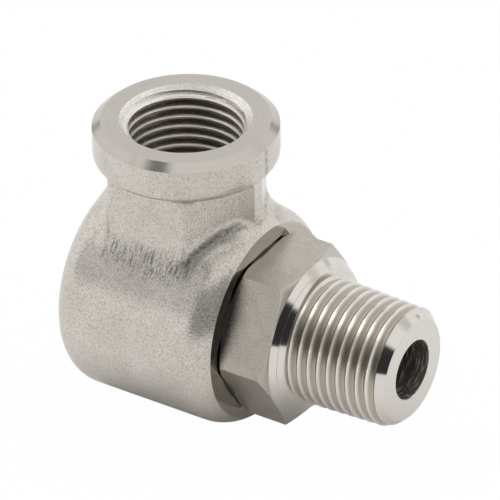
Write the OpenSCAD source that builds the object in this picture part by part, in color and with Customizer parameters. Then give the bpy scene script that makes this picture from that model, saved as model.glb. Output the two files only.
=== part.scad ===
// Right-angle pipe swivel joint. A forged housing with a female pipe port turns about a stem
// with a wrench hexagon and a male pipe thread. Two rows of balls carry the load.
// The origin is on the port's axis, where its countersink meets the threaded bore. +Z leaves the port,
// and +X leaves the stem. Both axes cross at crossing_z. Lengths are in millimetres.

/* [Housing] */
// Outer diameter of the round barrel
barrel_d = 37.7; // [36:0.1:40]
// Distance from the crossing of the axes to the closed rear face
barrel_rear = 16; // [15:0.5:20]
// Distance from the crossing of the axes to the machined front face
barrel_front = 15.1; // [15:0.1:18]
// Radius of the edge round the rear face
rear_round = 4.9; // [3:0.1:6]
// Radius of the shoulder that leads to the front face
front_round = 6.7; // [6:0.1:8]
// Thickness of the rear wall behind the fluid chamber
rear_wall = 5.5; // [4:0.5:7]

/* [Port] */
// Height of the port's face above the swivel axis
port_height = 34.3; // [33:0.1:38]
// Diameter of the bead round the port
bead_d = 30.9; // [30:0.1:32]
// Height of the bead's straight side, chamfer excluded
bead_side = 4.4; // [3:0.1:5]
// Width of the chamfer round the port's face
bead_chamfer = 1.4; // [1:0.05:2]
// Height of that chamfer
bead_chamfer_height = 1.15; // [0.8:0.05:2]
// Radius of the bead's lower edge
bead_round = 1.9; // [1.2:0.1:2.2]
// Width of the neck across its flats
neck_flats = 25.2; // [24.6:0.1:25.6]
// Distance between the trimmed forging seams on the neck's two end corners
neck_seams = 27.8; // [27:0.1:28.4]
// Radius of the forged fillet where the neck leaves the barrel
neck_fillet = 3; // [2:0.1:3.2]
// Bore of the port at the crests of its thread
port_bore_d = 18.3; // [18:0.1:18.6]
// Diameter of the countersink at the port's mouth
countersink_d = 21.8; // [21.4:0.1:22.4]
// Depth of the port from its face to the step above the barrel
port_depth = 17; // [16:0.5:18]

/* [Stem] */
// Distance from the crossing of the axes to the stem's tip
stem_tip = 43.4; // [41:0.1:46]
// Width of the wrench hexagon across its flats
hex_flats = 27; // [26:0.5:28]
// Length of the wrench hexagon
hex_length = 8.6; // [7:0.1:10]
// Angle of the wrench hexagon from flat side up
hex_turn = 1.8; // [0:0.1:30]
// Diameter of the male thread at its crests, taken as one mean value
thread_d = 21.1; // [20.8:0.1:21.3]
// Chamfer at the thread's tip
tip_chamfer = 1.5; // [1:0.1:2]
// Diameter of the undercut between the hexagon and the thread
undercut_d = 20.3; // [19.8:0.1:20.6]
// Diameter on the hexagon's face where the flare to the undercut starts
flare_d = 24.7; // [23.5:0.1:25]
// Diameter of the fluid bore through the stem
bore_d = 10.2; // [9:0.1:10.4]

/* [Bearing and seals] */
// Diameter of the journal that turns in the housing
journal_d = 24.9; // [24.5:0.1:24.9]
// Diameter of one ball
ball_d = 3.96; // [3.9:0.01:3.96]
// Distance between the planes of the two ball rows
row_pitch = 4.65; // [4.6:0.05:4.7]
// Radial clearance between the journal and the housing
journal_gap = 0.05; // [0.02:0.01:0.08]
// Diameter of the plugs that close the ball loading holes
plug_d = 4.4; // [4.2:0.1:4.6]

/* [Hidden] */
$fn = 96;
eps = 0.01;
surface_gap = 0.03; // running gap of balls and seals
countersink_depth = (countersink_d - port_bore_d) / 2;
crossing_z = countersink_depth - port_height;
crossing = [0, 0, crossing_z];

barrel_r = barrel_d / 2;
journal_r = journal_d / 2;
housing_bore_r = journal_r + journal_gap;
chamber_round = 3;
front_run = front_round * 0.7; // the shoulder stops short of a full quarter at the machined face

front_row_x = 11.85;
rear_row_x = front_row_x - row_pitch;
ball_pitch_r = (journal_r + housing_bore_r) / 2;
race_r = ball_d / 2 + surface_gap;
race_bottom_r = ball_pitch_r + race_r;
ball_count = floor(180 / asin((ball_d / 2 + surface_gap) / ball_pitch_r));
front_plug_angle = 16; // from +Y towards +Z
rear_plug_angle = -16;
plug_key = 2; // width across the flats of the key socket
plug_key_depth = 1.8;
plug_sink = 0.3; // how far the plug's head lies under the barrel's skin

journal_end_x = -0.2;
journal_chamfer = 0.5;
seal_groove_x = 0.6;
seal_groove_length = 3.9;
seal_groove_r = 10.25;
backup_width = 1;
dust_pocket_r = 14;
dust_pocket_depth = 0.9;
hex_x = barrel_front + 0.3;
hex_end_x = hex_x + hex_length;
hex_corner_r = hex_flats / 2 / cos(30);
hex_chamfer_r = 14.5; // radius of the circle where the hexagon's chamfers start
undercut_length = 1.5;
thread_x = hex_end_x + undercut_length;
tip_bore_chamfer = 0.4;

neck_corner_r = neck_flats / 2 / cos(30);
neck_soft_r = neck_corner_r - 0.3; // the corners are worn round by the forging
fillet_reach = 0.85; // share of its radius that the fillet runs out, where it ends a hair above the barrel
fillet_sides = 60;
fillet_steps = [-0.02, 0.05, 0.15, 0.3, 0.5, fillet_reach]; // shares of the radius, from the neck outwards
bead_bottom = port_height - bead_chamfer_height - bead_side - bead_round;
feed_hole_r = 3;
feed_hole_x = -5.9;
feed_hole_spread = 5; // distance between the two round ends of the feed slot

function two_digits(i) = str(i < 10 ? "0" : "", i);
FRONT_BALLS = [for (i = [1:ball_count]) str("front_ball_", two_digits(i))];
REAR_BALLS = [for (i = [1:ball_count]) str("rear_ball_", two_digits(i))];

// Moves what is drawn round the crossing of the axes to its place
module at_crossing() {
  translate(crossing) children();
}

// Turns a profile drawn with the radius along x and the length along y round the swivel axis
module round_swivel() {
  at_crossing() rotate([90, 0, 90]) rotate_extrude() children();
}

// A box in such a profile, from one length to another and from one radius to another
module band(x1, x2, r1, r2) {
  translate([r1, x1]) square([r2 - r1, x2 - x1]);
}

// Puts a radial piece on the swivel axis at length x and at an angle from +Y towards +Z
module radial(x, angle) {
  at_crossing() translate([x, 0, 0]) rotate([angle - 90, 0, 0]) children();
}

module barrel() {
  round_swivel() {
    band(-barrel_rear, barrel_front, 0, barrel_r - front_round);
    band(-barrel_rear + rear_round, barrel_front - front_run, 0, barrel_r);
    band(-barrel_rear, 0, 0, barrel_r - rear_round);
    translate([barrel_r - rear_round, -barrel_rear + rear_round]) circle(rear_round);
    intersection() {
      translate([barrel_r - front_round, barrel_front - front_run]) circle(front_round);
      band(0, barrel_front, 0, barrel_r);
    }
  }
}

// Six-sided outline of the forged neck. Its corners are soft, and its end corners are trimmed flat
module neck_outline() {
  intersection() {
    circle(r = neck_corner_r, $fn = 6);
    circle(r = neck_soft_r);
    square([neck_seams, 2 * neck_corner_r], center = true);
  }
}

module neck() {
  at_crossing() linear_extrude(bead_bottom + bead_round) neck_outline();
}

// Outer radius of the barrel at length x
function barrel_radius(x) =
  x > barrel_front - front_run ? barrel_r - front_round + sqrt(front_round ^ 2 - (x - barrel_front + front_run) ^ 2) :
  x < rear_round - barrel_rear ? barrel_r - rear_round + sqrt(rear_round ^ 2 - (x + barrel_rear - rear_round) ^ 2) :
  barrel_r;

// Distance from the port's axis to the neck's wall at an angle from +X
function neck_radius(angle) = min(
  neck_flats / 2 / cos((angle + 360) % 60 - 30),
  neck_soft_r,
  neck_seams / 2 / max(abs(cos(angle)), 0.5)
);

// Radius of the fillet at an angle from +X. It is smaller where a face of the barrel is near
function fillet_radius(angle) =
  let (along = cos(angle), face_x = along > 0 ? barrel_front : barrel_rear)
  min(neck_fillet, (face_x / max(abs(along), 0.1) - neck_radius(angle) - 0.05) / fillet_reach);

// Point of the fillet, out from the neck's wall by a share of its radius and raised above the barrel's skin
function fillet_point(angle, share, lift) =
  let (out = neck_radius(angle) + share * fillet_radius(angle), x = out * cos(angle), y = out * sin(angle))
  [x, y, sqrt(barrel_radius(x) ^ 2 - y ^ 2) + lift];

// Forged fillet all round the neck's foot, closed by two fans inside the neck and the barrel
module foot_fillet() {
  angles = [for (i = [0:fillet_sides - 1]) 360 * i / fillet_sides];
  rings = len(fillet_steps) + 1;
  points = concat(
    [
      for (share = fillet_steps, angle = angles)
        let (r = fillet_radius(angle)) fillet_point(angle, share, r - r * sqrt(1 - (1 - max(share, 0)) ^ 2))
    ],
    [for (angle = angles) fillet_point(angle, fillet_reach, -1)],
    [[0, 0, bead_bottom], [0, 0, journal_r]]
  );
  top = rings * fillet_sides;
  faces = concat(
    [
      for (k = [0:rings - 2], i = [0:fillet_sides - 1], half = [0, 1])
        let (j = (i + 1) % fillet_sides, a = k * fillet_sides, b = a + fillet_sides)
        half == 0 ? [a + i, a + j, b + i] : [a + j, b + j, b + i]
    ],
    [for (i = [0:fillet_sides - 1]) [top, (i + 1) % fillet_sides, i]],
    [for (i = [0:fillet_sides - 1]) [top + 1, top - fillet_sides + i, top - fillet_sides + (i + 1) % fillet_sides]]
  );
  at_crossing() polyhedron(points, faces);
}

// Round bead at the port's face, with a chamfer above and a round edge below
module bead() {
  side_z = bead_bottom + bead_round;
  at_crossing() rotate_extrude() {
    translate([0, side_z]) square([bead_d / 2, bead_side]);
    translate([0, bead_bottom]) square([bead_d / 2 - bead_round, bead_round + eps]);
    translate([bead_d / 2 - bead_round, side_z]) circle(bead_round);
    polygon([
      [0, side_z + bead_side],
      [bead_d / 2, side_z + bead_side],
      [bead_d / 2 - bead_chamfer, port_height],
      [0, port_height]
    ]);
  }
}

// The port's threaded bore at its crest diameter, its countersink, and the slot that feeds the chamber
module port_hollow() {
  translate([0, 0, countersink_depth - port_depth]) cylinder(d = port_bore_d, h = port_depth - countersink_depth);
  cylinder(d1 = port_bore_d, d2 = countersink_d, h = countersink_depth);
  translate([0, 0, countersink_depth]) cylinder(d = countersink_d, h = 1);
  at_crossing() translate([feed_hole_x, 0, 0]) {
    for (side = [-1, 1])
      translate([0, side * feed_hole_spread / 2, 0]) cylinder(r = feed_hole_r, h = port_height - port_depth + 1);
    translate([-feed_hole_r, -feed_hole_spread / 2, 0])
      cube([2 * feed_hole_r, feed_hole_spread, port_height - port_depth + 1]);
  }
}

// One ball race. Half of its round section is in the housing and half in the stem
module race(x) {
  translate([ball_pitch_r, x]) circle(race_r);
}

// Chamber and bearing bore, with the races' outer halves and the dust seal's pocket
module bearing_hollow() {
  chamber_x = rear_wall - barrel_rear;
  round_swivel() {
    band(chamber_x + chamber_round, barrel_front + 1, 0, housing_bore_r);
    band(chamber_x, chamber_x + chamber_round + eps, 0, housing_bore_r - chamber_round);
    intersection() {
      translate([housing_bore_r - chamber_round, chamber_x + chamber_round]) circle(chamber_round);
      band(chamber_x, barrel_front, 0, housing_bore_r);
    }
    race(front_row_x);
    race(rear_row_x);
    band(barrel_front - dust_pocket_depth, barrel_front + 1, 0, dust_pocket_r);
  }
}

module plug_hole(x, angle) {
  radial(x, angle) translate([0, 0, ball_pitch_r]) cylinder(d = plug_d, h = barrel_r);
}

module housing() {
  color("lightgray") difference() {
    union() {
      barrel();
      neck();
      foot_fillet();
      bead();
    }
    port_hollow();
    bearing_hollow();
    plug_hole(front_row_x, front_plug_angle);
    plug_hole(rear_row_x, rear_plug_angle);
  }
}

// Wrench hexagon with both faces chamfered to a circle
module hexagon() {
  chamfer_run = (hex_corner_r - hex_chamfer_r) * tan(30);
  at_crossing() rotate([90, 0, 90]) intersection() {
    translate([0, 0, hex_x]) rotate([0, 0, hex_turn]) cylinder(r = hex_corner_r, h = hex_length, $fn = 6);
    rotate_extrude() polygon([
      [0, hex_x],
      [hex_chamfer_r, hex_x],
      [hex_corner_r + eps, hex_x + chamfer_run],
      [hex_corner_r + eps, hex_end_x - chamfer_run],
      [hex_chamfer_r, hex_end_x],
      [0, hex_end_x]
    ]);
  }
}

// Turned body of the stem: journal with its seal groove and races, undercut and thread blank
module turned_stem() {
  tip_r = thread_d / 2 - tip_chamfer;
  neck_r = undercut_d / 2;
  flare_run = undercut_length * 0.6;
  flare_rise = flare_d / 2 - neck_r;
  round_swivel() difference() {
    polygon(concat(
      [
        [0, journal_end_x],
        [journal_r - journal_chamfer, journal_end_x],
        [journal_r, journal_end_x + journal_chamfer],
        [journal_r, hex_x + 1],
        [neck_r + flare_rise, hex_x + 1]
      ],
      [
        for (t = [0:15:90])
          [neck_r + flare_rise * (1 - sin(t)), hex_end_x + flare_run * (1 - cos(t))]
      ],
      [
        [neck_r, thread_x - (thread_d - undercut_d) / 2],
        [thread_d / 2, thread_x],
        [thread_d / 2, stem_tip - tip_chamfer],
        [tip_r, stem_tip],
        [0, stem_tip]
      ]
    ));
    race(front_row_x);
    race(rear_row_x);
    band(seal_groove_x, seal_groove_x + seal_groove_length, seal_groove_r, journal_r + 1);
  }
}

module swivel_stem() {
  color("gainsboro") difference() {
    union() {
      turned_stem();
      hexagon();
    }
    round_swivel() {
      band(journal_end_x - 1, stem_tip + 1, 0, bore_d / 2);
      polygon([
        [0, stem_tip - tip_bore_chamfer],
        [bore_d / 2, stem_tip - tip_bore_chamfer],
        [bore_d / 2 + tip_bore_chamfer, stem_tip],
        [0, stem_tip]
      ]);
    }
  }
}

// Round sealing ring, squeezed to an oval between the groove and the housing's bore
module pressure_o_ring() {
  height = housing_bore_r - surface_gap - seal_groove_r;
  width = seal_groove_length - backup_width - 2 * surface_gap;
  middle_r = seal_groove_r + height / 2;
  color("dimgray") round_swivel() {
    band(
      seal_groove_x + surface_gap + height / 2,
      seal_groove_x + surface_gap + width - height / 2,
      seal_groove_r,
      seal_groove_r + height
    );
    for (x = [height / 2, width - height / 2])
      translate([middle_r, seal_groove_x + surface_gap + x]) circle(height / 2);
  }
}

// Hard plastic ring that keeps the sealing ring from creeping out of its groove
module backup_ring() {
  groove_end = seal_groove_x + seal_groove_length;
  color("ivory") round_swivel() {
    band(groove_end - backup_width, groove_end, seal_groove_r, housing_bore_r - surface_gap);
  }
}

// Wiper in the housing's mouth that keeps dirt out of the races
module dust_seal() {
  outer_x = hex_x - surface_gap;
  lip = 0.3;
  color("black") round_swivel() polygon([
    [journal_r + surface_gap, barrel_front - dust_pocket_depth],
    [dust_pocket_r, barrel_front - dust_pocket_depth],
    [dust_pocket_r, barrel_front],
    [dust_pocket_r - lip, outer_x],
    [journal_r + surface_gap + lip, outer_x],
    [journal_r + surface_gap, outer_x - lip]
  ]);
}

// Plug that closes a ball loading hole, with a key socket in its head
module race_plug(x, angle) {
  head_r = barrel_r - plug_sink;
  color("silver") radial(x, angle) difference() {
    translate([0, 0, race_bottom_r]) cylinder(d = plug_d, h = head_r - race_bottom_r);
    translate([0, 0, head_r - plug_key_depth]) cylinder(d = plug_key / cos(30), h = plug_key_depth + 1, $fn = 6);
  }
}

module front_race_plug() {
  race_plug(front_row_x, front_plug_angle);
}

module rear_race_plug() {
  race_plug(rear_row_x, rear_plug_angle);
}

// Ball number i of the row in the plane x. The first ball's angle is counted from +Y towards +Z
module ball(x, i, first_angle) {
  angle = first_angle + 360 * (i - 1) / ball_count;
  color("whitesmoke") radial(x, angle) translate([0, 0, ball_pitch_r]) sphere(d = ball_d);
}

housing();
swivel_stem();
pressure_o_ring();
backup_ring();
dust_seal();
front_race_plug();
rear_race_plug();
for (i = [1:ball_count]) {
  ball(front_row_x, i, 0);
  ball(rear_row_x, i, 180 / ball_count);
}
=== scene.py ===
import math

import bmesh
import bpy
from mathutils import Matrix, Vector


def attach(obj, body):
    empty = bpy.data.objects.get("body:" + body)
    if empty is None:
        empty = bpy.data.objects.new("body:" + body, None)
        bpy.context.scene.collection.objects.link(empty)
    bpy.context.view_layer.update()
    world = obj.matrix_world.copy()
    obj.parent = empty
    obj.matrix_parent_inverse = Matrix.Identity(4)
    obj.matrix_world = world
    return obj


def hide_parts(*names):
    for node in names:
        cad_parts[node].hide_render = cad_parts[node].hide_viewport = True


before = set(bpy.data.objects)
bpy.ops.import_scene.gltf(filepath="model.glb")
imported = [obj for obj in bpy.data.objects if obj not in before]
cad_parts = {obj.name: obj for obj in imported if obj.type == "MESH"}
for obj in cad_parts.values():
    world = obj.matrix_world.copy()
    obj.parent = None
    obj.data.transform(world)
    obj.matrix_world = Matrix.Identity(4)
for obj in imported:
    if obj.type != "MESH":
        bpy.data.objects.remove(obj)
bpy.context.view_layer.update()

mm = 0.001
crossing = Vector((0, 0, -32.55 * mm))  # where the port's axis meets the swivel axis
portAxis = (0, 0, 1)
swivelAxis = (1, 0, 0)


# Small tools of the bench

def deselectAll():
    if bpy.context.object and bpy.context.object.mode != "OBJECT":
        bpy.ops.object.mode_set(mode="OBJECT")
    bpy.ops.object.select_all(action="DESELECT")


def pick(piece):
    deselectAll()
    piece.select_set(True)
    bpy.context.view_layer.objects.active = piece


def settle(piece, name):
    pick(piece)
    bpy.ops.object.transform_apply(location=True, rotation=True, scale=True)
    piece.name = piece.data.name = name
    return piece


def finishModifier(piece, kind, **settings):
    pick(piece)
    modifier = piece.modifiers.new(kind.title(), kind)
    for key, value in settings.items():
        setattr(modifier, key, value)
    bpy.ops.object.modifier_apply(modifier=modifier.name)


def machine(piece, tool, operation="DIFFERENCE"):
    finishModifier(piece, "BOOLEAN", object=tool, operation=operation, solver="MANIFOLD")
    bpy.data.objects.remove(tool)


def cleanUp(piece, distance=1e-6):
    pick(piece)
    bpy.ops.object.mode_set(mode="EDIT")
    bpy.ops.mesh.select_all(action="SELECT")
    bpy.ops.mesh.remove_doubles(threshold=distance)
    bpy.ops.mesh.normals_make_consistent(inside=False)
    bpy.ops.object.mode_set(mode="OBJECT")


def closeEnds(piece):
    pick(piece)
    bpy.ops.object.mode_set(mode="EDIT")
    bpy.ops.mesh.select_all(action="SELECT")
    bpy.ops.mesh.fill_holes(sides=0)
    bpy.ops.mesh.normals_make_consistent(inside=False)
    bpy.ops.object.mode_set(mode="OBJECT")


def bevelEdges(piece, chosen, width, segments):
    # chosen is asked about the two ends of every edge, in millimetres
    pick(piece)
    bpy.ops.object.mode_set(mode="EDIT")
    bpy.ops.mesh.select_all(action="DESELECT")
    mesh = bmesh.from_edit_mesh(piece.data)
    for edge in mesh.edges:
        edge.select = chosen(*(vertex.co / mm for vertex in edge.verts))
    bmesh.update_edit_mesh(piece.data)
    bpy.ops.mesh.bevel(offset=width * mm, segments=segments, affect="EDGES")
    bpy.ops.object.mode_set(mode="OBJECT")


def smoothByAngle(piece, degrees):
    pick(piece)
    bpy.ops.object.shade_smooth_by_angle(angle=math.radians(degrees))


def arc(alongCentre, radiusCentre, size, fromDegrees, toDegrees, steps=8):
    turns = [math.radians(fromDegrees + (toDegrees - fromDegrees) * i / steps) for i in range(steps + 1)]
    return [(alongCentre + size * math.cos(t), radiusCentre + size * math.sin(t)) for t in turns]


def grooveOutline(top, depth, halfWidth, power=1.5, steps=5):
    # A thread groove with a round root. Its sides steepen towards the crests
    shares = [i / steps for i in range(-steps, steps + 1)]
    return [(halfWidth * share, top - depth * (1 - abs(share)**power)) for share in shares]


def middleOf(about):
    return crossing if about is swivelAxis else Vector((0, 0, 0))


def turned(name, profile, about=swivelAxis, steps=180, ring=False):
    # A profile of (along, radius) points in millimetres is spun round the axis, as on a lathe
    deselectAll()
    bpy.ops.mesh.primitive_circle_add(vertices=len(profile), radius=mm, fill_type="NOTHING")
    piece = bpy.context.object
    for vertex, (along, radius) in zip(piece.data.vertices, profile):
        place = (along, radius, 0) if about is swivelAxis else (radius, 0, along)
        vertex.co = middleOf(about) + Vector(place) * mm
    bpy.ops.object.mode_set(mode="EDIT")
    if not ring:  # the profile starts and ends on the axis, so its closing edge goes
        mesh = bmesh.from_edit_mesh(piece.data)
        mesh.verts.ensure_lookup_table()
        mesh.edges.remove(mesh.edges.get((mesh.verts[0], mesh.verts[-1])))
        bmesh.update_edit_mesh(piece.data)
    bpy.ops.mesh.select_all(action="SELECT")
    bpy.ops.mesh.spin(steps=steps, angle=2 * math.pi, center=middleOf(about), axis=about)
    bpy.ops.object.mode_set(mode="OBJECT")
    cleanUp(piece)
    piece.name = piece.data.name = name
    return piece


def threadTool(name, shape, about):
    # A closed outline of (along, radius) points is screwed along an axis. Taper and run-out come last
    outline, steps = shape["outline"], shape["steps"]
    deselectAll()
    bpy.ops.mesh.primitive_circle_add(vertices=len(outline), radius=mm, fill_type="NOTHING")
    piece = bpy.context.object
    for vertex, (along, radius) in zip(piece.data.vertices, outline):
        vertex.co = Vector((radius, 0, along)) * mm
    finishModifier(piece, "SCREW", axis="Z", angle=2 * math.pi, screw_offset=shape["pitch"] * mm,
                   iterations=shape["turns"], steps=steps, render_steps=steps, use_merge_vertices=False)
    cleanUp(piece)
    closeEnds(piece)

    place = Matrix.Rotation(math.radians(shape["startAngle"]), 4, "Z")
    place = Matrix.Translation((0, 0, shape["start"] * mm)) @ place
    if about is swivelAxis:  # Z becomes X, X becomes Y
        layDown = Matrix(((0, 0, 1, 0), (1, 0, 0, 0), (0, 1, 0, 0), (0, 0, 0, 1)))
        place = Matrix.Translation(crossing) @ layDown @ place
    piece.data.transform(place)

    direction = Vector(about)
    for vertex in piece.data.vertices:
        offset = vertex.co - middleOf(about)
        reach = offset.dot(direction)
        out = offset - direction * reach
        turn = vertex.index // len(outline) / steps  # the screw lays its rings down in order
        lift = (shape["taperAt"] * mm - reach) * shape["taper"]
        lift += shape["runOut"] * mm * max(0.0, 1 - turn / shape["runOutTurns"])
        vertex.co = middleOf(about) + direction * reach + out * (1 + lift / out.length)
    piece.name = piece.data.name = name
    return piece


# Shader maths

class Socket:
    # Wraps an output, so that an expression on it adds its Math nodes
    def __init__(self, bench, link):
        self.bench = bench
        self.link = link

    def math(self, operation, *others):
        return self.bench.node("ShaderNodeMath", {"operation": operation}, self, *others)

    def __add__(self, other):
        return self.math("ADD", other)

    def __radd__(self, other):
        return self.math("ADD", other)

    def __sub__(self, other):
        return self.math("SUBTRACT", other)

    def __rsub__(self, other):
        return self * -1 + other

    def __mul__(self, other):
        return self.math("MULTIPLY", other)

    def __rmul__(self, other):
        return self.math("MULTIPLY", other)

    def __truediv__(self, other):
        return self.math("DIVIDE", other)

    def power(self, other):
        return self.math("POWER", other)

    def larger(self, other):
        return self.math("MAXIMUM", other)

    def between(self, low, high):
        return self.bench.node("ShaderNodeMapRange", {"interpolation_type": "SMOOTHSTEP"}, self, low, high)


class Bench:
    def __init__(self, tree):
        self.tree = tree
        tree.nodes.clear()

    def node(self, kind, settings=None, *inputs, out="", **named):
        made = self.tree.nodes.new(kind)
        for key, value in (settings or {}).items():
            setattr(made, key, value)
        sockets = list(zip([s for s in made.inputs if s.enabled], inputs))
        sockets += [(made.inputs[key.replace("_", " ")], value) for key, value in named.items()]
        for socket, value in sockets:
            if isinstance(value, Socket):
                self.tree.links.new(value.link, socket)
            else:
                socket.default_value = value
        outputs = [made.outputs[out]] if out else [s for s in made.outputs if s.enabled]
        return Socket(self, outputs[0]) if outputs else None

    def blendColour(self, factor, first, second):
        return self.node("ShaderNodeMix", {"data_type": "RGBA"}, factor, first, second)

    def join(self, x, y, z=0.0):
        return self.node("ShaderNodeCombineXYZ", {}, x, y, z)

    def split(self, vector):
        made = self.node("ShaderNodeSeparateXYZ", {}, vector)
        return [Socket(self, output) for output in made.link.node.outputs]

    def attribute(self, name):
        return self.node("ShaderNodeAttribute", {"attribute_name": name}, out="Fac")

    def ray(self, kind):
        return self.node("ShaderNodeLightPath", out=kind)

    def place(self, centre=(0, 0, 0), turn=(0, 0, 0), scale=(1, 1, 1)):
        coordinates = self.node("ShaderNodeTexCoord", out="Object")
        return self.node("ShaderNodeMapping", {"vector_type": "TEXTURE"}, coordinates, centre, turn, scale)

    def lathe(self, about):
        # A place on the surface, its length along the axis and its distance from it
        spot = self.place(centre=middleOf(about))
        x, y, z = self.split(spot)
        along, across, other = (x, y, z) if about is swivelAxis else (z, x, y)
        return spot, along, (across * across + other * other).power(0.5)

    def noise(self, vector, size, detail=2.0, rough=0.5):
        # size is the width of one speck in metres
        return self.node("ShaderNodeTexNoise", {}, vector, Scale=1 / size, Detail=detail, Roughness=rough)


def newMaterial(name):
    material = bpy.data.materials.new(name)
    material.use_nodes = True
    return material, Bench(material.node_tree)


def surface(bench, colour, rough, height, bump, strength=1.0, metallic=1.0):
    # bump is how deep the height pattern goes, in metres
    normal = bench.node("ShaderNodeBump", {}, Strength=strength, Distance=bump, Height=height)
    return bench.node("ShaderNodeBsdfPrincipled", {}, Base_Color=colour, Roughness=rough, Metallic=metallic,
                      Normal=normal)


def plugIn(bench, shader, kind="ShaderNodeOutputMaterial"):
    bench.node(kind, {}, shader)


# Finishes. Sizes of a pattern and depths of a bump are in metres

blastLook = {
    "skin": (0.735, 0.70, 0.65, 1), "skinCloud": (0.68, 0.645, 0.595, 1), "cloudSize": 0.006,
    "grainSize": 0.00028, "grainDepth": 0.00024, "rough": 0.22, "roughDrift": 0.06,
    "pit": (0.2, 0.19, 0.17, 1), "pitSize": 0.00027, "pitShare": 0.36, "wornAndShadedPitShare": 0.4,
    "wornDepth": 1.5, "dirt": (0.16, 0.15, 0.13, 1), "creaseSize": 0.0009, "creaseShare": 0.65,
    "scratchSize": 0.0003, "scratchLean": 0.12, "scratchStretch": 9, "scratchShare": 0.8,
    "patchSize": 0.0035, "leastPatch": 0.25,
    # How much of the shine is smooth, how smooth it is, and how much of the grain's depth it shows
    "sheen": 0.4, "sheenRough": 0.08, "sheenDepth": 0.12,
}
turnedLook = {"lineSize": 0.00009, "lineDepth": 0.000004, "driftSize": 0.004, "roughDrift": 0.06}
threadLook = {
    "crest": (0.82, 0.79, 0.745, 1), "worn": (0.70, 0.675, 0.635, 1), "lineSize": 0.00012,
    "stemGrooveShade": (0.50, 0.465, 0.41, 1), "portGrooveShade": (0.34, 0.305, 0.26, 1), "grainSize": 0.00025,
    "portDepth": 0.00004, "stemDepth": 0.00001,
}
tornLook = {
    "pale": (0.92, 0.90, 0.86, 1), "torn": (0.70, 0.67, 0.63, 1), "rough": 0.42, "depth": 0.00006,
    "grainSize": 0.00028, "ringSize": 0.0002, "ringShare": 0.6,
}
drilledLook = {
    "ridgeHighlight": (0.95, 0.93, 0.9, 1), "hollow": (0.30, 0.285, 0.26, 1), "rough": 0.5, "depth": 0.00008,
    "ringSize": 0.00034, "ringLength": 0.0006,  # metres of pattern to a radian of turn
}
milledLook = {
    "light": (0.56, 0.525, 0.475, 1), "dark": (0.51, 0.475, 0.425, 1), "rough": 0.22, "roughDrift": 0.04,
    "depth": 0.00005, "grainSize": 0.00022, "cloudSize": 0.003, "glintSize": 0.00015, "glintShare": 0.7,
}


def blastedSteel():
    # A rough and a smooth reflection are mixed, so that the blasted grain keeps a sheen
    look = blastLook
    material, bench = newMaterial("blastedSteel")
    spot = bench.place()
    stretch = look["scratchStretch"]
    upright = bench.place(turn=(0, look["scratchLean"], 0), scale=(1, stretch, stretch))
    grain = bench.noise(spot, look["grainSize"], 3.0, 0.6)
    cloud = bench.noise(spot, look["cloudSize"])
    scratch = bench.noise(upright, look["scratchSize"]).between(0.54, 0.64)
    patches = bench.noise(spot, look["patchSize"]).between(0.4, 0.62)
    pitFree = bench.noise(spot, look["pitSize"], 2.0, 0.7).between(0.36, 0.52)
    foot = bench.attribute("footMark")
    # The crease mark is painted shade in the forging's creases, plus the flash's remains along the seams
    creaseShadeAndFlash = bench.attribute("creaseShadeAndFlash") * bench.noise(spot, look["creaseSize"], 3.0, 0.6).between(0.3, 0.6)
    patchy = look["leastPatch"] + patches * (1 - look["leastPatch"])
    marks = foot * scratch * patchy * look["scratchShare"]
    # worn takes the foot's real marks and the creases' painted shade, and adds dark pits for both
    worn = creaseShadeAndFlash.larger(foot)

    colour = bench.blendColour(cloud.between(0.3, 0.7), look["skin"], look["skinCloud"])
    pits = (1 - pitFree) * (look["pitShare"] + worn * look["wornAndShadedPitShare"])
    colour = bench.blendColour(pits, colour, look["pit"])
    colour = bench.blendColour(marks, colour, look["dirt"])
    # In the creases this dark colour is painted shade, while on the foot's marks above it is dirt
    colour = bench.blendColour(creaseShadeAndFlash * look["creaseShare"], colour, look["dirt"])
    rough = look["rough"] + (cloud - 0.5) * look["roughDrift"]
    height = grain * (1 + worn * look["wornDepth"]) - marks
    rugged = surface(bench, colour, rough, height, look["grainDepth"])
    sheen = surface(bench, colour, look["sheenRough"], height, look["grainDepth"] * look["sheenDepth"])
    plugIn(bench, bench.node("ShaderNodeMixShader", {}, look["sheen"], rugged, sheen))
    return material


def turnedSteel(name, about, first, second, rough):
    # Fine tool marks follow both the radius and the length, so flat faces and round walls both show them
    look = turnedLook
    material, bench = newMaterial(name)
    spot, along, radius = bench.lathe(about)
    drift = (bench.noise(spot, look["driftSize"]) - 0.5) * look["roughDrift"]
    mark = bench.noise(bench.join(along, radius), look["lineSize"], 2.0, 0.6)
    colour = bench.blendColour(mark.between(0.3, 0.7), first, second)
    plugIn(bench, surface(bench, colour, rough + drift, mark, look["lineDepth"]))
    return material


def threadSteel(name, about, thread):
    # Bright on the crests, with painted shade darkening the grooves, and tool marks along the turns
    look = threadLook
    inside = about is portAxis
    material, bench = newMaterial(name)
    spot, along, radius = bench.lathe(about)
    depth = (radius + along * thread["taper"]) * (1 / mm) - thread["crestAtOrigin"]
    deep = (depth if inside else depth * -1).between(0.05, 0.5)
    grain = bench.noise(spot, look["grainSize"], 3.0, 0.65)
    mark = bench.noise(bench.join(along, radius), look["lineSize"], 2.0, 0.6)
    colour = bench.blendColour(mark.between(0.3, 0.7), look["crest"], look["worn"])
    # Painted shade: the grooves get a darker colour the deeper they go
    colour = bench.blendColour(deep, colour, look["portGrooveShade"] if inside else look["stemGrooveShade"])
    if inside:
        shader = surface(bench, colour, 0.42 - deep * 0.17, grain + mark, look["portDepth"])
    else:
        shader = surface(bench, colour, 0.16 + deep * 0.2, mark + grain * 0.5, look["stemDepth"])
    plugIn(bench, shader)
    return material


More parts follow.
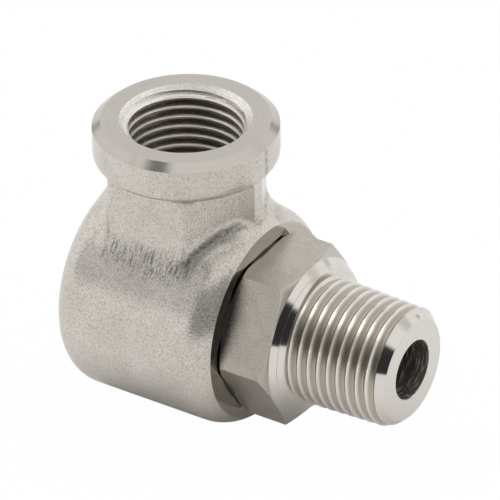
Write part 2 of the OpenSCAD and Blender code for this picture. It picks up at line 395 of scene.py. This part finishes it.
def tornSteel():
    # The countersink tool tore the steel a little, so its cone is pale and grainy
    look = tornLook
    material, bench = newMaterial("countersinkSteel")
    spot, along, radius = bench.lathe(portAxis)
    rings = bench.noise(bench.join(along, radius), look["ringSize"], 2.0, 0.6)
    grain = bench.noise(spot, look["grainSize"], 3.0, 0.6) + rings * look["ringShare"]
    colour = bench.blendColour(grain.between(0.6, 0.85), look["torn"], look["pale"])
    plugIn(bench, surface(bench, colour, look["rough"], grain, look["depth"]))
    return material


def drilledSteel():
    # Torn rings from the drill, with painted highlights on their ridges
    look = drilledLook
    material, bench = newMaterial("boreSteel")
    x, y, z = bench.split(bench.place(centre=crossing))
    turn = y.math("ARCTAN2", z) * look["ringLength"]
    streak = bench.noise(bench.join(x, turn), look["ringSize"], 2.0, 0.6)
    # Painted highlight: the rings' ridges get a near-white colour
    colour = bench.blendColour(streak.between(0.52, 0.62), look["hollow"], look["ridgeHighlight"])
    plugIn(bench, surface(bench, colour, look["rough"], streak, look["depth"]))
    return material


def milledSteel():
    # Cloudy flats with fine bright glints
    look = milledLook
    material, bench = newMaterial("milledSteel")
    spot = bench.place()
    fine = bench.noise(spot, look["grainSize"], 3.0, 0.6)
    cloud = bench.noise(spot, look["cloudSize"], 3.0)
    glint = bench.noise(spot, look["glintSize"], 2.0, 0.7).between(0.5, 0.72)
    colour = bench.blendColour(cloud.between(0.3, 0.7), look["light"], look["dark"])
    colour = bench.blendColour(glint * look["glintShare"], colour, threadLook["crest"])
    rough = look["rough"] + (cloud - 0.5) * look["roughDrift"]
    plugIn(bench, surface(bench, colour, rough, fine, look["depth"]))
    return material


def sealStuff(name, light, dark):
    material, bench = newMaterial(name)
    speck = bench.noise(bench.place(), 0.0004, 3.0)
    colour = bench.blendColour(speck.between(0.35, 0.7), light, dark)
    plugIn(bench, surface(bench, colour, 0.45 + speck * 0.2, speck, 0.00003, strength=0.6, metallic=0.0))
    return material


def plainSteel(name, light, dark, rough):
    material, bench = newMaterial(name)
    speck = bench.noise(bench.place(), 0.0003, 3.0)
    colour = bench.blendColour(speck.between(0.3, 0.7), light, dark)
    plugIn(bench, surface(bench, colour, rough + (speck - 0.5) * 0.1, speck, 0.00001, strength=0.6))
    return material


# Housing. Lengths are in millimetres and angles in degrees, here and for the stem

housing = {
    "barrelRadius": 18.85, "rear": -16.0, "front": 15.1,
    "rearRound": 4.9, "frontRound": 6.7, "frontRun": 4.69, "frontTop": -13,
    "neckFlats": 25.2, "neckCorner": 14.549, "neckSoftened": 14.25, "neckEdge": 1.1, "neckBottom": 8,
    "foot": 3.0, "footReach": 0.85, "footSides": 120,
    "footShares": (-0.02, 0.04, 0.1, 0.2, 0.32, 0.48, 0.65),
    "footSink": 1, "footCore": 12, "footCap": 24,  # its closed ends lie inside the barrel and the neck
    "seam": 13.9, "trimFoot": 18.7, "trimDepth": 4, "trimWidth": 5, "trimRound": 1.6,
    "beadRadius": 15.45, "beadSide": 4.4, "beadRound": 1.9, "beadTop": 1.75, "beadStart": 12.6,
    "beadLip": (0.35, 13.7), "chamferWidth": 1.4, "chamferHeight": 1.15,
    "boreRadius": 9.15, "mouthRadius": 9.55, "countersinkRadius": 10.95, "portFloor": -15.25,
    "toolRadius": 24, "toolDepth": 4, "ringToolRadius": 18.5, "toolRise": 1.2,
    "voxel": 0.34, "smoothing": 5, "smoothAngle": 28,
}
housingThread = {
    "pitch": 1.814, "turns": 9, "steps": 96, "start": -13.9, "startAngle": 123.6, "taper": -1 / 32,
    "taperAt": -1.5, "crestAtOrigin": 9.5, "runOut": 0, "runOutTurns": 1,
    "outline": [(-0.98, 9.3)] + grooveOutline(9.75, -0.8, 0.55) + [(0.98, 9.3)],
}
feedSlot = {"x": -5.9, "z": -24, "radius": 3, "length": 18, "stretch": 2.5}
bearing = {
    "rows": (7.2, 11.85), "plugTurns": (-16, 16),  # each row of balls and the angle of its loading plug
    "raceRadius": 2.01, "pitchRadius": 12.475, "boreRadius": 12.5, "chamberEnd": -10.5, "chamberRound": 3,
    "pocket": (14.2, 16.5), "pocketRadius": 14, "plugRadius": 2.2, "plugDepth": 10,
}
# Where the foot's marks lie, and where painted shade darkens the creases beside the slanted flats
forgingMarksAndCreaseShade = {
    "barrelEnds": (-15.9, 15.0), "footOut": (0.6, 2.2), "footHeight": (0.3, 2.2), "footGain": 1.6,
    "footFlat": (0.8, 0.07), "creaseHeight": 3.2, "creaseFlat": (0.08, 0.9), "creaseFades": (0.2, 0.04),
    "firstCrease": (0.4, 0.36), "secondCrease": (2.3, 0.9), "secondShare": 0.35, "secondFlat": (0.3, 0.75),
    "rearShare": 0.2, "flash": (0.3, 0.45), "flashHeights": (-6.5, 0.4), "flashOut": 14,
}
# The height at which the bead's side starts
beadFoot = housing["beadTop"] - housing["chamferHeight"] - housing["beadSide"]


def barrelRadius(x):
    h = housing
    pastFront = x - h["front"] + h["frontRun"]
    pastRear = h["rear"] + h["rearRound"] - x
    if pastFront > 0:
        return h["barrelRadius"] - h["frontRound"] + math.sqrt(h["frontRound"]**2 - pastFront**2)
    if pastRear > 0:
        return h["barrelRadius"] - h["rearRound"] + math.sqrt(h["rearRound"]**2 - pastRear**2)
    return h["barrelRadius"]


def neckRadius(turn):
    apart = (turn % (math.pi / 3)) - math.pi / 6
    return min(housing["neckFlats"] / 2 / math.cos(apart), housing["neckSoftened"])


def wallRadius(turn):
    # The neck's wall once the flash at its two ends is off
    return min(neckRadius(turn), housing["seam"] / max(abs(math.cos(turn)), 0.1))


def footRadius(turn):
    # The fillet gets smaller where the neck comes close to an end of the barrel
    along = math.cos(turn)
    end = housing["front"] if along > 0 else -housing["rear"]
    room = end / max(abs(along), 0.1) - wallRadius(turn)
    return min(housing["foot"], (room - 0.05) / housing["footReach"])


def footPoint(turn, share, lift):
    out = wallRadius(turn) + share * footRadius(turn)
    x, y = out * math.cos(turn), out * math.sin(turn)
    return crossing + Vector((x, y, math.sqrt(barrelRadius(x)**2 - y * y) + lift)) * mm


def footFillet():
    # Its rings go from the neck's middle, past the neck's wall, down to just under the barrel's skin
    h = housing
    sides = h["footSides"]
    turns = [2 * math.pi * i / sides for i in range(sides)]
    rings = [[crossing + Vector((0, 0, h["footCap"])) * mm] * sides]
    for share in (*h["footShares"], h["footReach"]):
        rise = [footRadius(t) * (1 - math.sqrt(1 - (1 - max(share, 0))**2)) for t in turns]
        rings.append([footPoint(t, share, r) for t, r in zip(turns, rise)])
    rings.append([footPoint(t, h["footReach"], -h["footSink"]) for t in turns])
    rings.append([crossing + Vector((0, 0, h["footCore"])) * mm] * sides)

    deselectAll()
    bpy.ops.mesh.primitive_circle_add(vertices=sides, radius=mm, fill_type="NOTHING")
    piece = bpy.context.object
    for vertex in piece.data.vertices:
        vertex.co = rings[0][vertex.index]
    bpy.ops.object.mode_set(mode="EDIT")
    bpy.ops.mesh.select_all(action="SELECT")
    for ring in rings[1:]:
        bpy.ops.mesh.extrude_edges_move()
        mesh = bmesh.from_edit_mesh(piece.data)
        for vertex, point in zip([v for v in mesh.verts if v.select], ring):
            vertex.co = point
        bmesh.update_edit_mesh(piece.data)
    bpy.ops.object.mode_set(mode="OBJECT")
    cleanUp(piece)
    return piece


def forgedBlank():
    # Barrel, neck, fillet and bead become one skin, and the remeshing softens the lines where they meet
    h = housing
    radius, front, rear = h["barrelRadius"], h["frontRound"], h["rearRound"]
    shoulder = arc(h["front"] - h["frontRun"], radius - front, front, 90, 30, 14)
    rearEdge = arc(h["rear"] + rear, radius - rear, rear, 180, 90, 12)
    blank = turned("forging", [(h["rear"], 0)] + rearEdge + shoulder + [(shoulder[-1][0], 0)])

    height = beadFoot - crossing.z / mm - h["neckBottom"]
    middle = crossing + Vector((0, 0, h["neckBottom"] + height / 2)) * mm
    deselectAll()
    bpy.ops.mesh.primitive_cylinder_add(vertices=6, radius=h["neckCorner"] * mm, depth=height * mm,
                                        location=middle, rotation=(0, 0, math.pi / 6))
    neck = settle(bpy.context.object, "neck")
    bevelEdges(neck, lambda a, b: abs(a.z - b.z) > height / 2, h["neckEdge"], 5)
    machine(blank, neck, "UNION")
    machine(blank, footFillet(), "UNION")

    low = beadFoot - h["beadRound"]
    lipRise, lipRadius = h["beadLip"]
    bead = [(low, 0), (low, h["beadStart"]), (low + lipRise, lipRadius)]
    bead += arc(beadFoot, h["beadRadius"] - h["beadRound"], h["beadRound"], 160, 90, 7)
    bead += [(h["beadTop"] + 1, h["beadRadius"]), (h["beadTop"] + 1, 0)]
    machine(blank, turned("bead", bead, portAxis), "UNION")
    finishModifier(blank, "REMESH", mode="VOXEL", voxel_size=h["voxel"] * mm)
    finishModifier(blank, "SMOOTH", factor=0.5, iterations=h["smoothing"])
    return blank


def facingTool(at, about):
    radius, end = housing["toolRadius"], at + housing["toolDepth"]
    return turned("facingTool", [(at, 0), (at, radius), (end, radius), (end, 0)], about, 128)


def chamferTool():
    # A ring whose cone runs on past both ends of the chamfer
    h = housing
    width, height = h["chamferWidth"], h["chamferHeight"]
    inner = h["beadRadius"] - width
    outer = h["ringToolRadius"]
    high, low = h["beadTop"] + height / 2, h["beadTop"] - height * 1.5
    profile = [(high, inner - width / 2), (low, inner + width * 1.5), (low, outer), (high, outer)]
    return turned("chamferTool", profile, portAxis, ring=True)


def portTool():
    h = housing
    high = h["beadTop"] + h["toolRise"]
    countersinkFoot = h["beadTop"] - h["countersinkRadius"] + h["mouthRadius"]
    tool = turned("portTool", [
        (h["portFloor"], 0), (h["portFloor"], h["boreRadius"]), (countersinkFoot, h["mouthRadius"]),
        (high, h["countersinkRadius"] + h["toolRise"]), (high, 0)], portAxis)
    machine(tool, threadTool("tap", housingThread, portAxis), "UNION")
    return tool


def feedTool():
    f = feedSlot
    deselectAll()
    bpy.ops.mesh.primitive_cylinder_add(vertices=48, radius=f["radius"] * mm, depth=f["length"] * mm,
                                        location=(f["x"] * mm, 0, f["z"] * mm))
    tool = settle(bpy.context.object, "feedTool")
    for vertex in tool.data.vertices:  # the round hole is stretched into a slot
        if abs(vertex.co.y) > 1e-6:
            vertex.co.y += math.copysign(f["stretch"] * mm, vertex.co.y)
    return tool


def raceArcs(wall, side):
    # What both races take out of a wall of this radius. The side is 1 for the housing and -1 for the stem
    b = bearing
    meet = math.degrees(math.acos(abs(wall - b["pitchRadius"]) / b["raceRadius"]))
    points = []
    for x in b["rows"]:
        points += arc(x, b["pitchRadius"], b["raceRadius"], side * (90 + meet), side * (90 - meet), 18)
    return points


def bearingTool():
    # Chamber, bearing bore, the outer halves of both races and the dust seal's pocket
    b = bearing
    end, edge, bore = b["chamberEnd"], b["chamberRound"], b["boreRadius"]
    pocket, mouth = b["pocket"]
    profile = [(end, 0)] + arc(end + edge, bore - edge, edge, 180, 90) + raceArcs(bore, 1)
    profile += [(pocket, bore), (pocket, b["pocketRadius"]), (mouth, b["pocketRadius"]), (mouth, 0)]
    return turned("bearingTool", profile, steps=128)


def plugHole(x, degrees):
    turn = math.radians(degrees)
    out = Vector((0, math.cos(turn), math.sin(turn)))
    middle = crossing + (Vector((x, 0, 0)) + out * (bearing["pitchRadius"] + bearing["plugDepth"] / 2)) * mm
    deselectAll()
    bpy.ops.mesh.primitive_cylinder_add(vertices=40, radius=bearing["plugRadius"] * mm,
                                        depth=bearing["plugDepth"] * mm, location=middle,
                                        rotation=out.to_track_quat("Z", "Y").to_euler())
    return settle(bpy.context.object, "plugHole")


def seamTrimmer(side):
    # Shears the flash off the neck's end corner.
    # Its rounded foot lets the flat land run out over the fillet
    h = housing
    low, high = crossing.z / mm + h["trimFoot"], beadFoot - h["beadRound"] + 0.1
    deselectAll()
    bpy.ops.mesh.primitive_cube_add(size=1)
    tool = bpy.context.object
    tool.scale = Vector((h["trimDepth"], h["trimWidth"], high - low)) * mm
    tool.location = Vector((side * (h["seam"] + h["trimDepth"] / 2), 0, (high + low) / 2)) * mm
    settle(tool, "seamTrimmer")
    bevelEdges(tool, lambda *ends: all(abs(p.x) < h["seam"] + 0.1 and p.z < low + 0.1 for p in ends),
               h["trimRound"], 8)
    return tool


def closeTo(value, middle, reach):
    return max(0.0, 1 - abs(value - middle) / reach)


def markForgingAndCreaseShade(piece):
    # How close each point of the skin is to the rough foot of the neck,
    # and how much painted shade darkens the creases beside its slanted flats
    m = forgingMarksAndCreaseShade
    marks = piece.data.attributes.new("footMark", "FLOAT", "POINT")
    creaseShadeAndFlashLayer = piece.data.attributes.new("creaseShadeAndFlash", "FLOAT", "POINT")
    rearEnd, frontEnd = m["barrelEnds"]
    flatStart, flatFade = m["footFlat"]
    creaseStart, creaseEnd = m["creaseFlat"]
    startFade, endFade = m["creaseFades"]
    secondStart, secondEnd = m["secondFlat"]
    flashLow, flashHigh = m["flashHeights"]
    for vertex in piece.data.vertices:
        local = (vertex.co - crossing) / mm
        turn = math.atan2(local.y, local.x)
        across = abs(math.sin(turn))  # 1 at the middle of the flats that face +Y and -Y
        out = math.hypot(local.x, local.y) - neckRadius(turn)
        skin = math.hypot(local.y, local.z) - barrelRadius(max(min(local.x, frontEnd), rearEnd))
        near = closeTo(out, *m["footOut"]) * closeTo(skin, *m["footHeight"]) * m["footGain"]
        mark = min(1.0, near) * min(1.0, max(0.0, (across - flatStart) / flatFade))
        creaseShadeAndFlash = 0.0
        # Painted shade in the creases, full on the front half and weaker at the rear
        if skin < m["creaseHeight"] and creaseStart < across < creaseEnd:
            fade = min(1.0, (across - creaseStart) / startFade, (creaseEnd - across) / endFade)
            second = m["secondShare"] if secondStart < across < secondEnd else 0.0
            creaseShadeAndFlash = max(closeTo(out, *m["firstCrease"]), closeTo(out, *m["secondCrease"]) * second) * fade
            creaseShadeAndFlash *= 1 if local.x > 0 else m["rearShare"]
        if flashLow < vertex.co.z / mm < flashHigh and abs(local.x) > m["flashOut"]:
            creaseShadeAndFlash = closeTo(local.y, *m["flash"])  # what is left of the flash
        marks.data[vertex.index].value = mark
        creaseShadeAndFlashLayer.data[vertex.index].value = creaseShadeAndFlash


def sortHousingFaces(piece, finishes):
    # 0 forged skin, 1 machined front and bearing bore, 2 port face, 3 port thread, 4 countersink
    h, b = housing, bearing
    piece.data.materials.clear()
    for finish in finishes:
        piece.data.materials.append(finish)
    chamferFoot = h["beadTop"] - h["chamferHeight"]
    for face in piece.data.polygons:
        at = face.center / mm
        fromPort = math.hypot(at.x, at.y)
        fromSwivel = math.hypot(at.y, at.z - crossing.z / mm)
        onFront = at.x > h["front"] - 0.02 and at.z < h["frontTop"]
        underPort = at.x > b["chamberEnd"] - 0.1 and at.z < h["portFloor"] - 0.05
        inBearing = fromSwivel < b["pocketRadius"] + 0.6 and underPort
        index = 1 if onFront or inBearing else 0
        if at.z > chamferFoot - 0.01 and face.normal.z > 0.05:
            index = 2
        if fromPort < h["countersinkRadius"] + 0.25 and h["portFloor"] - 0.15 < at.z < h["beadTop"] - 0.01:
            index = 3 if at.z < 0.02 else 4
        face.material_index = index


forging = forgedBlank()
machine(forging, facingTool(housing["front"], swivelAxis))
machine(forging, facingTool(housing["beadTop"], portAxis))
machine(forging, chamferTool())
machine(forging, portTool())
machine(forging, feedTool())
machine(forging, bearingTool())
for rowX, plugTurn in zip(bearing["rows"], bearing["plugTurns"]):
    machine(forging, plugHole(rowX, plugTurn))
for seamSide in (-1, 1):
    machine(forging, seamTrimmer(seamSide))
cleanUp(forging, 2e-6)
forging.name = forging.data.name = "housing_forging"
markForgingAndCreaseShade(forging)
sortHousingFaces(forging, (
    blastedSteel(),
    turnedSteel("facedSteel", swivelAxis, (0.52, 0.49, 0.45, 1), (0.46, 0.43, 0.39, 1), 0.1),
    turnedSteel("portSteel", portAxis, (0.56, 0.535, 0.495, 1), (0.51, 0.485, 0.45, 1), 0.16),
    threadSteel("portThreadSteel", portAxis, housingThread),
    tornSteel()))
smoothByAngle(forging, housing["smoothAngle"])
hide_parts("housing")
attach(forging, "housing")
print("housing:", len(forging.data.polygons), "faces")


# Stem

stem = {
    "journalRadius": 12.45, "journalEnd": -0.2, "journalChamfer": 0.5,
    "sealGroove": (0.6, 4.5), "sealRadius": 10.25, "collarStart": 16.5,
    "hexStart": 15.4, "hexEnd": 24.2, "hexFlats": 27.0, "hexTurn": 1.8, "hexEdge": 0.2,
    "hexCircle": 14.5, "hexHollow": 7.5, "hexClearance": 1.5, "rearSlope": 30, "frontSlope": 22,
    "frontCircle": 13.55, "coneInset": 0.05, "stepRadius": 12.58, "stepRise": 0.04, "stepFall": 0.05,
    "stepLength": 0.02, "innerConeRun": 0.85, "coneFoot": 11.72,
    "threadStart": 25.5, "threadLead": 0.9, "crestAtStart": 10.72,
    "tip": 43.4, "tipRadius": 8.7, "chamferRun": 1.5, "boreRadius": 5.1, "rim": 0.1, "smoothAngle": 24,
    # Radii outside which a face can belong to the flats, the hexagon's chamfers and the thread
    "flatsOutside": 12.6, "chamfersOutside": 12.4, "threadOutside": 9,
}
stemThread = {
    "pitch": 1.814, "turns": 11, "steps": 120, "start": 26.17, "startAngle": 0, "taper": 1 / 32,
    "taperAt": 25.5, "crestAtOrigin": 11.5, "runOut": 2.6, "runOutTurns": 0.18,
    "outline": [(-0.9, 12.8)] + grooveOutline(10.84, 1.05, 0.88) + [(0.9, 12.8)],
}


def turnedStem():
    s = stem
    journal, bore, end = s["journalRadius"], s["boreRadius"], s["journalEnd"]
    grooveStart, grooveEnd = s["sealGroove"]
    profile = [(end, bore), (end, journal - s["journalChamfer"]), (end + s["journalChamfer"], journal),
               (grooveStart, journal), (grooveStart, s["sealRadius"]), (grooveEnd, s["sealRadius"]),
               (grooveEnd, journal)]
    profile += raceArcs(journal, -1)
    # Two cones with a fine step between them lead from the hexagon's face to the thread
    coneTop = s["frontCircle"] - s["coneInset"]
    step = s["hexEnd"] + s["frontCircle"] - s["stepRadius"]
    profile += [(s["collarStart"], journal), (s["collarStart"], coneTop), (s["hexEnd"], coneTop),
                (step, s["stepRadius"] + s["stepRise"]),
                (step + s["stepLength"], s["stepRadius"] - s["stepFall"]),
                (step + s["innerConeRun"], s["coneFoot"]),
                (s["threadStart"] + s["threadLead"], s["crestAtStart"])]
    tipCrest = s["crestAtStart"] - (s["tip"] - s["threadStart"] - s["chamferRun"]) * stemThread["taper"]
    profile += [(s["tip"] - tipCrest + s["tipRadius"], tipCrest), (s["tip"], s["tipRadius"]),
                (s["tip"], bore + s["rim"]), (s["tip"] - s["rim"], bore)]
    return turned("stem", profile, ring=True)


def wrenchHexagon():
    s = stem
    start, end = s["hexStart"], s["hexEnd"]
    corner = s["hexFlats"] / 2 / math.cos(math.pi / 6)
    deselectAll()
    bpy.ops.mesh.primitive_cylinder_add(vertices=6, radius=corner * mm, depth=(end - start) * mm,
                                        location=crossing + Vector(((end + start) / 2, 0, 0)) * mm,
                                        rotation=(0, math.pi / 2, 0))
    hexagon = settle(bpy.context.object, "hexagon")
    turn = Matrix.Rotation(math.radians(s["hexTurn"]), 4, "X")
    hexagon.data.transform(Matrix.Translation(crossing) @ turn @ Matrix.Translation(-crossing))
    bevelEdges(hexagon, lambda a, b: abs(a.x - b.x) > (end - start) / 2, s["hexEdge"], 1)

    far = corner + s["hexClearance"]
    hollow, rear, front = s["hexHollow"], s["hexCircle"], s["frontCircle"]
    rearRun = (far - rear) * math.tan(math.radians(s["rearSlope"]))
    frontRun = (far - front) * math.tan(math.radians(s["frontSlope"]))
    chamfers = turned("hexChamfers", [
        (start - 1, hollow), (start - 1, rear), (start, rear), (start + rearRun, far),
        (end - frontRun, far), (end, front), (end + 1, front), (end + 1, hollow)], ring=True)
    machine(hexagon, chamfers, "INTERSECT")
    return hexagon


def sortStemFaces(piece, finishes):
    # 0 turned, 1 milled flats of the hexagon, 2 bore, 3 thread, 4 chamfers of the hexagon
    s = stem
    piece.data.materials.clear()
    for finish in finishes:
        piece.data.materials.append(finish)
    for face in piece.data.polygons:
        at = face.center / mm
        slant = abs(face.normal.x)
        radius = math.hypot(at.y, at.z - crossing.z / mm)
        tilt = math.degrees(math.atan2(face.normal.z, face.normal.y)) - s["hexTurn"]
        offFlat = abs((tilt + 60) % 60 - 30)
        index = 0
        alongHexagon = s["hexStart"] < at.x < s["hexEnd"]
        if alongHexagon and radius > s["flatsOutside"] and slant < 0.2 and offFlat < 3:
            index = 1
        if radius < s["boreRadius"] + 0.05:
            index = 2
        alongThread = s["threadStart"] + 0.5 < at.x < s["tip"] - s["chamferRun"] - 0.1
        if alongThread and radius > s["threadOutside"]:
            index = 3
        alongChamfers = s["hexStart"] - 0.1 < at.x < s["hexEnd"] - 0.01
        if alongChamfers and slant > 0.3 and radius > s["chamfersOutside"]:
            index = 4
        face.material_index = index


swivelStem = turnedStem()
machine(swivelStem, wrenchHexagon(), "UNION")
machine(swivelStem, threadTool("die", stemThread, swivelAxis))
cleanUp(swivelStem, 2e-6)
swivelStem.name = swivelStem.data.name = "stem_turned"
sortStemFaces(swivelStem, (
    turnedSteel("stemSteel", swivelAxis, (0.73, 0.705, 0.665, 1), (0.67, 0.645, 0.605, 1), 0.09),
    milledSteel(),
    drilledSteel(),
    threadSteel("stemThreadSteel", swivelAxis, stemThread),
    turnedSteel("hexFaceSteel", swivelAxis, (0.60, 0.57, 0.525, 1), (0.54, 0.51, 0.465, 1), 0.3)))
smoothByAngle(swivelStem, stem["smoothAngle"])
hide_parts("swivel_stem")
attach(swivelStem, "stem")
print("stem:", len(swivelStem.data.polygons), "faces")


# The other CAD nodes keep their shape and get their finish

rubber = sealStuff("sealRubber", (0.025, 0.025, 0.026, 1), (0.012, 0.012, 0.013, 1))
plastic = sealStuff("backupPlastic", (0.80, 0.78, 0.72, 1), (0.70, 0.68, 0.61, 1))
ballSteel = plainSteel("ballSteel", (0.78, 0.77, 0.75, 1), (0.72, 0.71, 0.69, 1), 0.08)
plugSteel = plainSteel("plugSteel", (0.50, 0.485, 0.455, 1), (0.40, 0.385, 0.36, 1), 0.28)
nodeFinishes = {
    "pressure_o_ring": rubber, "dust_seal": rubber, "backup_ring": plastic,
    "front_race_plug": plugSteel, "rear_race_plug": plugSteel,
}
for nodeName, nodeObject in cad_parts.items():
    nodeFinish = ballSteel if "ball" in nodeName else nodeFinishes.get(nodeName)
    if nodeFinish:
        nodeObject.data.materials.clear()
        nodeObject.data.materials.append(nodeFinish)
print("seals, plugs and balls are finished")


# Studio

studio = {
    "azimuth": 33.624, "elevation": 32.517, "roll": -1.138, "distance": 940.1, "shift": (9.916, 7.340),
    "lens": 406.4, "floor": -51.4, "floorRadius": 900,
    "paper": (0.99, 0.985, 0.975, 1), "white": (1, 1, 1, 1), "air": (1, 0.99, 0.975, 1),
    "lampAt": (-0.43, -0.076, 0.82), "lampSize": 0.46, "lampPower": 0.85,
    # In the steel's reflections the floor is darker in an oval under the joint: its middle and half widths
    "shadeAt": (0.018, 0, 0), "shadeSpan": (0.038, 0.021, 1), "shadeEdge": (0.9, 1.8),
    # Unlit parts of the room: heading and half width in degrees, lowest and highest slope, strength
    "dark": ((250, 18, 0.80, 0.93, 0.8), (306, 48, -0.13, 0.74, 0.965), (240, 26, 0.237, 0.78, 0.5),
             (83, 6, 0.18, 0.31, 0.8), (158, 6, 0.08, 0.21, 0.8), (45, 9, 0.44, 0.60, 0.4),
             (124, 34, 0.55, 0.75, 0.25), (135, 34, 0.62, 0.75, 0.45)),
}


def studioFloor():
    deselectAll()
    bpy.ops.mesh.primitive_circle_add(vertices=64, radius=studio["floorRadius"] * mm, fill_type="NGON",
                                      location=(0, 0, studio["floor"] * mm))
    floor = settle(bpy.context.object, "studioFloor")
    material, bench = newMaterial("studioPaper")
    paper = bench.node("ShaderNodeBsdfDiffuse", {}, studio["paper"])
    light = bench.node("ShaderNodeEmission", {}, studio["white"], 1.0)
    x, y, z = bench.split(bench.place(centre=studio["shadeAt"], scale=studio["shadeSpan"]))
    # 0 under the joint, 1 on the open table
    apart = (x * x + y * y).power(0.5).between(*studio["shadeEdge"])
    bright = bench.ray("Is Camera Ray") * 0.985 + bench.ray("Is Glossy Ray") * (0.04 + apart * 0.5)
    plugIn(bench, bench.node("ShaderNodeMixShader", {}, bright, paper, light))
    floor.data.materials.append(material)


def studioWorld():
    world = bpy.data.worlds.new("studio")
    bpy.context.scene.world = world
    world.use_nodes = True
    bench = Bench(world.node_tree)
    x, y, z = bench.split(bench.node("ShaderNodeTexCoord", out="Generated"))
    flat = (x * x + y * y).power(0.5) + 1e-5
    dark = None
    for heading, half, low, high, strength in studio["dark"]:
        heading, limit = math.radians(heading), math.cos(math.radians(half))
        facing = (x * math.cos(heading) + y * math.sin(heading)) / flat
        part = facing.between(limit - 0.04, limit + 0.04) * z.between(low - 0.015, low + 0.015)
        part = part * (1 - z.between(high - 0.02, high + 0.02)) * strength
        dark = dark.larger(part) if dark else part
    level = (1.0 + z.between(0.6, 0.95) * 0.04) * (1 - dark)
    room = bench.node("ShaderNodeBackground", {}, studio["air"], level)
    white = bench.node("ShaderNodeBackground", {}, studio["white"], 1.0)
    shader = bench.node("ShaderNodeMixShader", {}, bench.ray("Is Camera Ray"), room, white)
    plugIn(bench, shader, "ShaderNodeOutputWorld")


def studioLamp():
    lamp = bpy.data.lights.new("keyLamp", "AREA")
    lamp.shape = "DISK"
    lamp.size = studio["lampSize"]
    lamp.energy = studio["lampPower"]
    holder = bpy.data.objects.new("keyLamp", lamp)
    bpy.context.scene.collection.objects.link(holder)
    holder.location = studio["lampAt"]
    holder.rotation_euler = (-Vector(studio["lampAt"])).to_track_quat("-Z", "Y").to_euler()


def studioCamera():
    a, e, r = (math.radians(studio[key]) for key in ("azimuth", "elevation", "roll"))
    back = Vector((math.sin(a) * math.cos(e), -math.cos(a) * math.cos(e), math.sin(e)))
    right = Vector((math.cos(a), math.sin(a), 0))
    up = back.cross(right)
    right, up = right * math.cos(r) + up * math.sin(r), up * math.cos(r) - right * math.sin(r)
    lens = bpy.data.cameras.new("camera")
    lens.lens = studio["lens"]
    lens.sensor_width = 36
    lens.clip_start = 0.05
    lens.clip_end = 20
    camera = bpy.data.objects.new("camera", lens)
    bpy.context.scene.collection.objects.link(camera)
    shiftX, shiftY = studio["shift"]
    place = crossing + (back * studio["distance"] + right * shiftX + up * shiftY) * mm
    turn = Matrix((right, up, back)).transposed().to_4x4()
    camera.matrix_world = Matrix.Translation(place) @ turn
    bpy.context.scene.camera = camera


studioFloor()
studioWorld()
studioLamp()
studioCamera()
bpy.context.scene.view_settings.view_transform = "Standard"
bpy.context.view_layer.update()
print("studio is ready")
